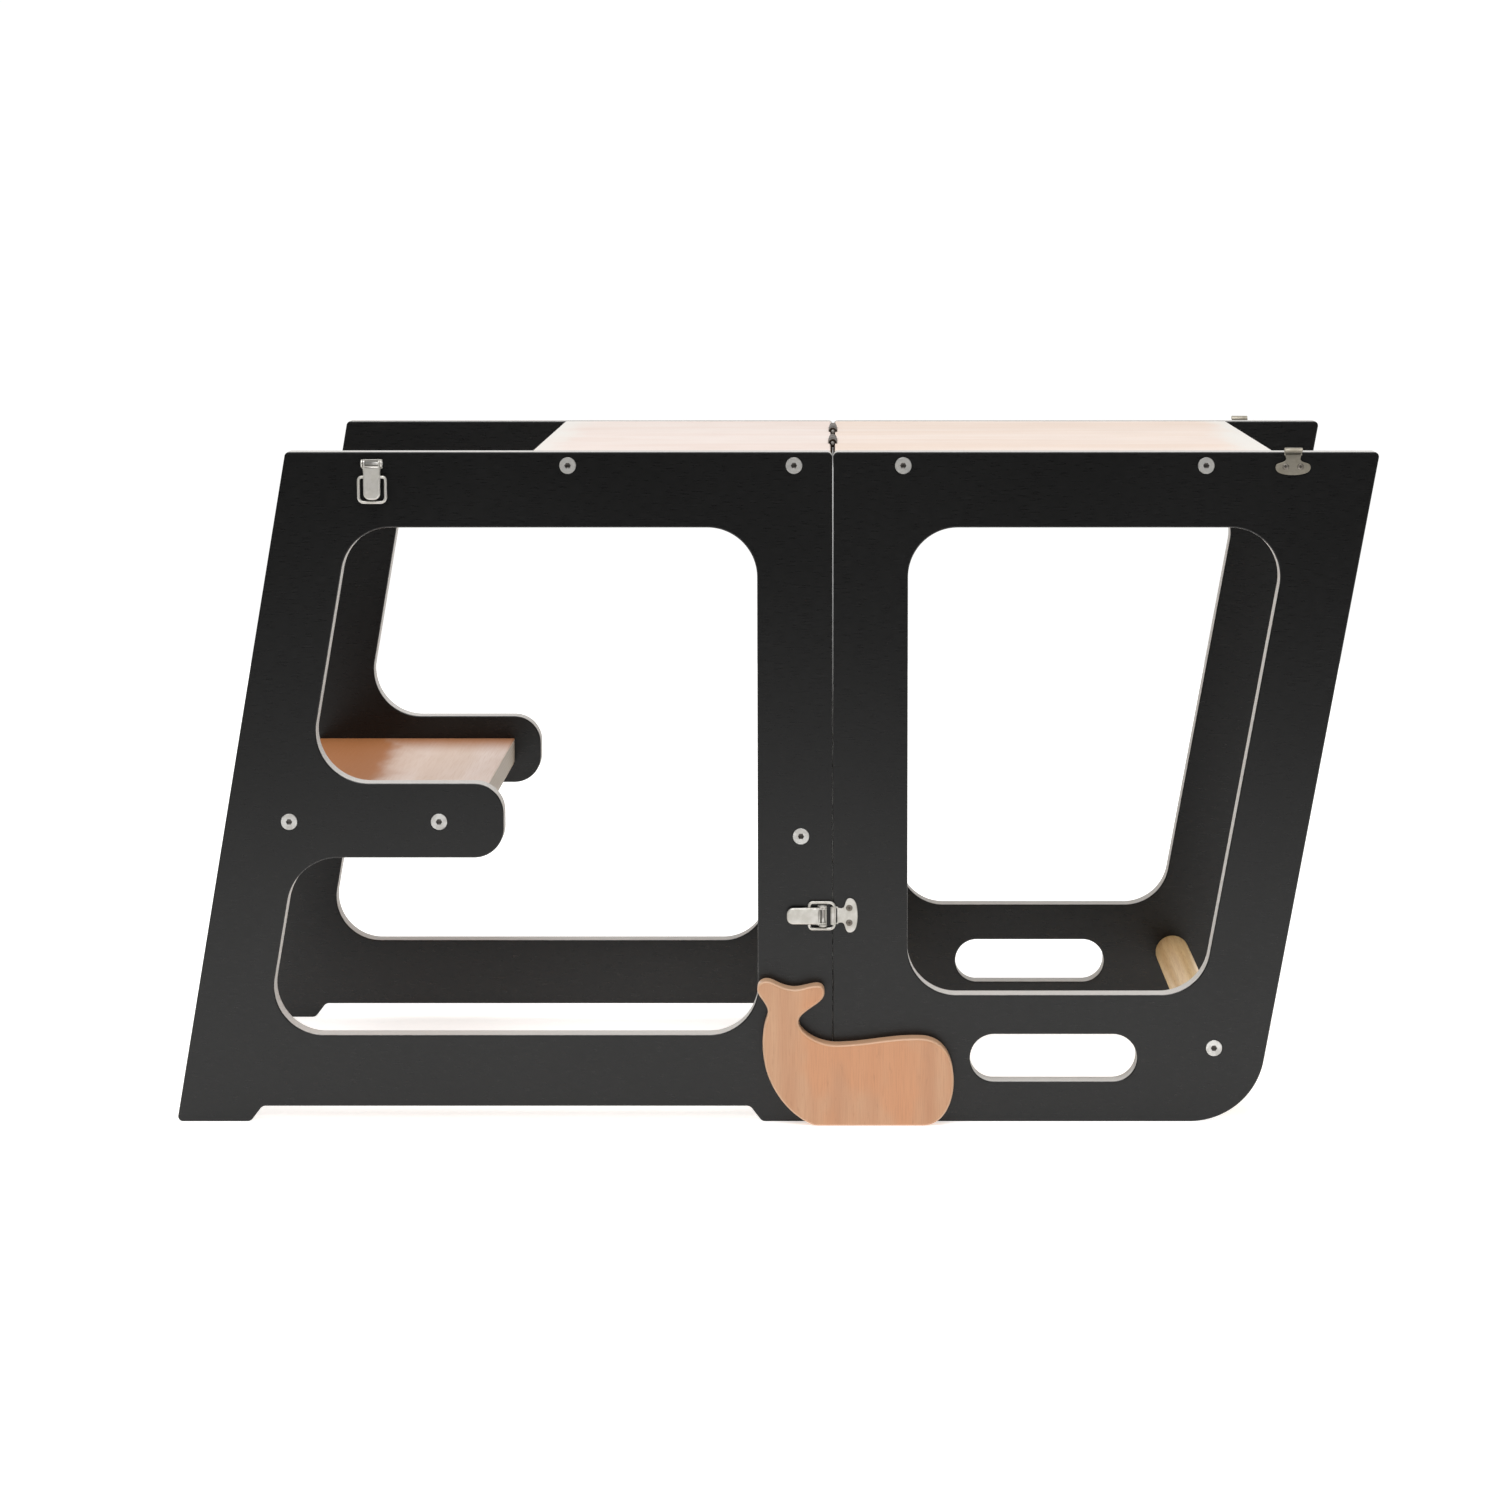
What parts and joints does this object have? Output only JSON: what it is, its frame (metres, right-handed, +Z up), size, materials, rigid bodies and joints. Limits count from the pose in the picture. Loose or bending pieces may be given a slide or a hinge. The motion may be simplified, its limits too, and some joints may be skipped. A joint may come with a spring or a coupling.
{
  "type": "folding learning tower",
  "caption": "Folding wooden learning tower opened out as a low table with a seat: windowed side panels, hinged upper half, toggle latches and whale-shaped side feet.",
  "frame": {"origin": "on the floor under the middle of the object as it stands opened out as a table", "axes": "+X along the table from the seat end to the free end of the upper half, +Y from the right side to the left side of a child who sits facing +X, +Z up"},
  "size_m": [0.8012, 0.4306, 0.453],
  "materials": {
    "black_laminate": "matt black film on birch plywood, with bare pale edges",
    "pale_birch": "clear satin lacquer",
    "beech": "oiled, vertical grain",
    "dowel_wood": "clear satin lacquer",
    "nickel": "nickel plated",
    "zinc_steel": "zinc plated"
  },
  "bodies": {
    "base_frame": {"base_side_panel_right": "black_laminate", "base_side_panel_left": "black_laminate", "base_tabletop": "pale_birch", "seat_board": "pale_birch", "base_cross_rail": "dowel_wood", "whale_foot_right": "beech", "whale_foot_left": "beech", "screw_base_tabletop_outer_right": "zinc_steel", "screw_base_tabletop_seam_right": "zinc_steel", "screw_seat_outer_right": "zinc_steel", "screw_seat_inner_right": "zinc_steel", "screw_base_rail_right": "zinc_steel", "screw_base_tabletop_outer_left": "zinc_steel", "screw_base_tabletop_seam_left": "zinc_steel", "screw_seat_outer_left": "zinc_steel", "screw_seat_inner_left": "zinc_steel", "screw_base_rail_left": "zinc_steel", "screw_whale_tail_right": "zinc_steel", "screw_whale_belly_right": "zinc_steel", "screw_whale_tail_left": "zinc_steel", "screw_whale_belly_left": "zinc_steel", "hinge_base_leaf_right": "nickel", "hinge_base_leaf_left": "nickel", "hinge_pin_right": "zinc_steel", "hinge_pin_left": "zinc_steel", "seam_latch_plate_right": "nickel", "seam_latch_pin_right": "zinc_steel", "seam_latch_plate_left": "nickel", "seam_latch_pin_left": "zinc_steel", "front_latch_plate_right": "nickel", "front_latch_pin_right": "zinc_steel", "front_latch_plate_left": "nickel", "front_latch_pin_left": "zinc_steel"},
    "upper_frame": {"upper_side_panel_right": "black_laminate", "upper_side_panel_left": "black_laminate", "upper_tabletop": "pale_birch", "upper_back_rail": "dowel_wood", "upper_front_rail": "dowel_wood", "screw_upper_tabletop_seam_right": "zinc_steel", "screw_upper_tabletop_outer_right": "zinc_steel", "screw_upper_back_rail_right": "zinc_steel", "screw_upper_front_rail_right": "zinc_steel", "screw_upper_tabletop_seam_left": "zinc_steel", "screw_upper_tabletop_outer_left": "zinc_steel", "screw_upper_back_rail_left": "zinc_steel", "screw_upper_front_rail_left": "zinc_steel", "hinge_upper_leaf_right": "nickel", "hinge_upper_leaf_left": "nickel", "seam_keeper_right": "nickel", "seam_keeper_left": "nickel", "front_keeper_right": "nickel", "front_keeper_left": "nickel"},
    "seam_lever_right": {"seam_latch_lever_right": "nickel"},
    "seam_lever_left": {"seam_latch_lever_left": "nickel"},
    "seam_bail_right": {"seam_latch_bail_right": "nickel"},
    "seam_bail_left": {"seam_latch_bail_left": "nickel"},
    "front_lever_right": {"front_latch_lever_right": "nickel"},
    "front_lever_left": {"front_latch_lever_left": "nickel"},
    "front_bail_right": {"front_latch_bail_right": "nickel"},
    "front_bail_left": {"front_latch_bail_left": "nickel"}
  },
  "joints": [
    {"name": "fold", "type": "hinge", "parent": "base_frame", "child": "upper_frame", "pos_m": [0.03967, 0, 0.4503], "axis": [0, -1, 0], "range_deg": [0, 180]},
    {"name": "seam_lever_right_turn", "type": "hinge", "parent": "base_frame", "child": "seam_lever_right", "pos_m": [0.03317, -0.2043, 0.1405], "axis": [0, 0, 1], "range_deg": [0, 150]},
    {"name": "seam_lever_left_turn", "type": "hinge", "parent": "base_frame", "child": "seam_lever_left", "pos_m": [0.03317, 0.2043, 0.1405], "axis": [0, 0, -1], "range_deg": [0, 150]},
    {"name": "seam_bail_right_turn", "type": "hinge", "parent": "seam_lever_right", "child": "seam_bail_right", "pos_m": [0.02417, -0.203, 0.1405], "axis": [0, 0, -1], "range_deg": [0, 180]},
    {"name": "seam_bail_left_turn", "type": "hinge", "parent": "seam_lever_left", "child": "seam_bail_left", "pos_m": [0.02417, 0.203, 0.1405], "axis": [0, 0, 1], "range_deg": [0, 180]},
    {"name": "front_lever_right_turn", "type": "hinge", "parent": "base_frame", "child": "front_lever_right", "pos_m": [-0.26433, -0.2043, 0.4426], "axis": [-1, 0, 0], "range_deg": [0, 150]},
    {"name": "front_lever_left_turn", "type": "hinge", "parent": "base_frame", "child": "front_lever_left", "pos_m": [-0.26433, 0.2043, 0.4426], "axis": [1, 0, 0], "range_deg": [0, 150]},
    {"name": "front_bail_right_turn", "type": "hinge", "parent": "front_lever_right", "child": "front_bail_right", "pos_m": [-0.26433, -0.203, 0.4336], "axis": [1, 0, 0], "range_deg": [-180, 0]},
    {"name": "front_bail_left_turn", "type": "hinge", "parent": "front_lever_left", "child": "front_bail_left", "pos_m": [-0.26433, 0.203, 0.4336], "axis": [-1, 0, 0], "range_deg": [-180, 0]}
  ],
  "couplings": [
    {"joint": "seam_bail_right_turn", "follows": "seam_lever_right_turn", "ratio": 1.2},
    {"joint": "seam_bail_left_turn", "follows": "seam_lever_left_turn", "ratio": 1.2}
  ]
}
